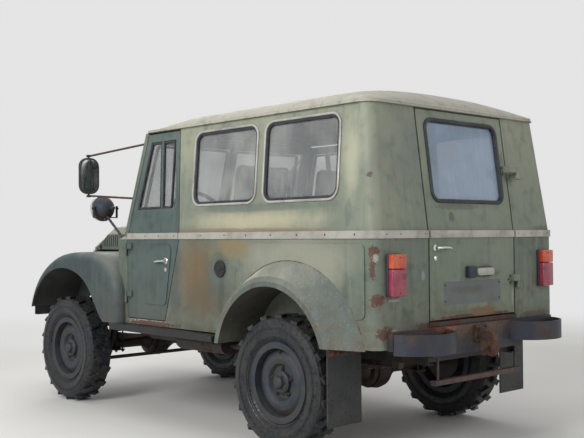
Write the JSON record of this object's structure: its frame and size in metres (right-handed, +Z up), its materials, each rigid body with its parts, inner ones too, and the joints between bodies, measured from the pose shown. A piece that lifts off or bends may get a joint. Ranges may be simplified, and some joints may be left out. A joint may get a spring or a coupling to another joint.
{
  "type": "army 4x4 car",
  "caption": "Old army four-wheel-drive car with a steel hardtop, side-hinged rear door, louvred bonnet, flared arches and lugged tyres on leaf-sprung axles.",
  "frame": {"origin": "on the ground under the middle of the overall length, on the centre plane", "axes": "+X forward, +Y to the left, +Z up"},
  "size_m": [3.85, 2.044, 1.9899],
  "materials": {
    "paint": "faded satin",
    "paint_dark": "faded satin",
    "roof_paint": "dusty matt",
    "pale_trim": "dull",
    "dark_steel": "worn, rusty",
    "wheel_paint": "worn satin",
    "tyre": "worn",
    "flap_rubber": "worn",
    "glass": "dusty",
    "lamp_red": "gloss",
    "lamp_clear": "gloss",
    "seat_cloth": "worn",
    "black_plastic": "satin",
    "cast_iron": "greasy"
  },
  "bodies": {
    "car_body": {"belt_strips": "pale_trim", "body_mounts": "flap_rubber", "chassis_frame": "dark_steel", "cowl": "paint_dark", "drivetrain": "cast_iron", "engine": "cast_iron", "exhaust": "dark_steel", "fixed_glass": "glass", "floor_pan": "paint", "front_axle": "cast_iron", "front_bumper": "dark_steel", "front_wings": "paint_dark", "fuel_tank": "dark_steel", "grille_panel": "paint_dark", "hardtop_sides": "paint", "headlamps": "lamp_clear", "leaf_springs": "dark_steel", "mirrors": "black_plastic", "mud_flaps": "flap_rubber", "rear_axle": "cast_iron", "rear_bumpers": "dark_steel", "rear_fenders": "paint", "rear_sill": "paint", "roof": "roof_paint", "running_boards": "dark_steel", "search_lamp": "black_plastic", "seats": "seat_cloth", "steering_column": "dark_steel", "tail_lamps": "lamp_red", "tow_hook": "dark_steel", "tub_sides": "paint", "windscreen_frame": "paint_dark"},
    "left_door": {"door_left": "paint_dark", "door_glass_left": "glass", "door_fittings_left": "pale_trim"},
    "right_door": {"door_right": "paint_dark", "door_glass_right": "glass", "door_fittings_right": "pale_trim"},
    "back_door": {"rear_door": "paint", "rear_door_glass": "glass", "rear_door_fittings": "pale_trim"},
    "bonnet_lid": {"bonnet": "paint_dark"},
    "hand_wheel": {"steering_wheel": "black_plastic"},
    "left_knuckle": {"knuckle_left": "cast_iron"},
    "right_knuckle": {"knuckle_right": "cast_iron"},
    "steering_rod": {"track_rod": "dark_steel"},
    "road_wheel_front_left": {"tyre_front_left": "tyre", "wheel_front_left": "wheel_paint"},
    "road_wheel_front_right": {"tyre_front_right": "tyre", "wheel_front_right": "wheel_paint"},
    "road_wheel_rear_left": {"tyre_rear_left": "tyre", "wheel_rear_left": "wheel_paint"},
    "road_wheel_rear_right": {"tyre_rear_right": "tyre", "wheel_rear_right": "wheel_paint"}
  },
  "joints": [
    {"name": "left_door_hinge", "type": "hinge", "parent": "car_body", "child": "left_door", "pos_m": [0.498, 0.813, 0.9], "axis": [0, 0, -1], "range_deg": [0, 70]},
    {"name": "right_door_hinge", "type": "hinge", "parent": "car_body", "child": "right_door", "pos_m": [0.498, -0.813, 0.9], "axis": [0, 0, 1], "range_deg": [0, 70]},
    {"name": "back_door_hinge", "type": "hinge", "parent": "car_body", "child": "back_door", "pos_m": [-1.747, -0.398, 1.2], "axis": [0, 0, 1], "range_deg": [0, 100]},
    {"name": "bonnet_hinge", "type": "hinge", "parent": "car_body", "child": "bonnet_lid", "pos_m": [0.609, 0, 1.322], "axis": [0, -1, 0], "range_deg": [0, 50]},
    {"name": "steer_left", "type": "hinge", "parent": "car_body", "child": "left_knuckle", "pos_m": [1.32, 0.596, 0.375], "axis": [0, 0, 1], "range_deg": [-28, 28]},
    {"name": "steer_right", "type": "hinge", "parent": "car_body", "child": "right_knuckle", "pos_m": [1.32, -0.596, 0.375], "axis": [0, 0, 1], "range_deg": [-28, 28]},
    {"name": "rod_pivot", "type": "hinge", "parent": "left_knuckle", "child": "steering_rod", "pos_m": [1.185, 0.596, 0.2917], "axis": [0, 0, 1], "range_deg": [-28, 28]},
    {"name": "steering_turn", "type": "hinge", "parent": "car_body", "child": "hand_wheel", "pos_m": [0.268, 0.35, 1.33], "axis": [-0.788, 0, 0.6157], "range_deg": [-504, 504]},
    {"name": "spin_front_left", "type": "hinge", "parent": "left_knuckle", "child": "road_wheel_front_left", "pos_m": [1.32, 0.72, 0.375], "axis": [0, 1, 0], "continuous": true},
    {"name": "spin_front_right", "type": "hinge", "parent": "right_knuckle", "child": "road_wheel_front_right", "pos_m": [1.32, -0.72, 0.375], "axis": [0, 1, 0], "continuous": true},
    {"name": "spin_rear_left", "type": "hinge", "parent": "car_body", "child": "road_wheel_rear_left", "pos_m": [-0.98, 0.72, 0.375], "axis": [0, 1, 0], "continuous": true},
    {"name": "spin_rear_right", "type": "hinge", "parent": "car_body", "child": "road_wheel_rear_right", "pos_m": [-0.98, -0.72, 0.375], "axis": [0, 1, 0], "continuous": true}
  ],
  "couplings": [
    {"joint": "steer_right", "follows": "steer_left", "ratio": 1},
    {"joint": "rod_pivot", "follows": "steer_left", "ratio": -1},
    {"joint": "steering_turn", "follows": "steer_left", "ratio": 18}
  ]
}
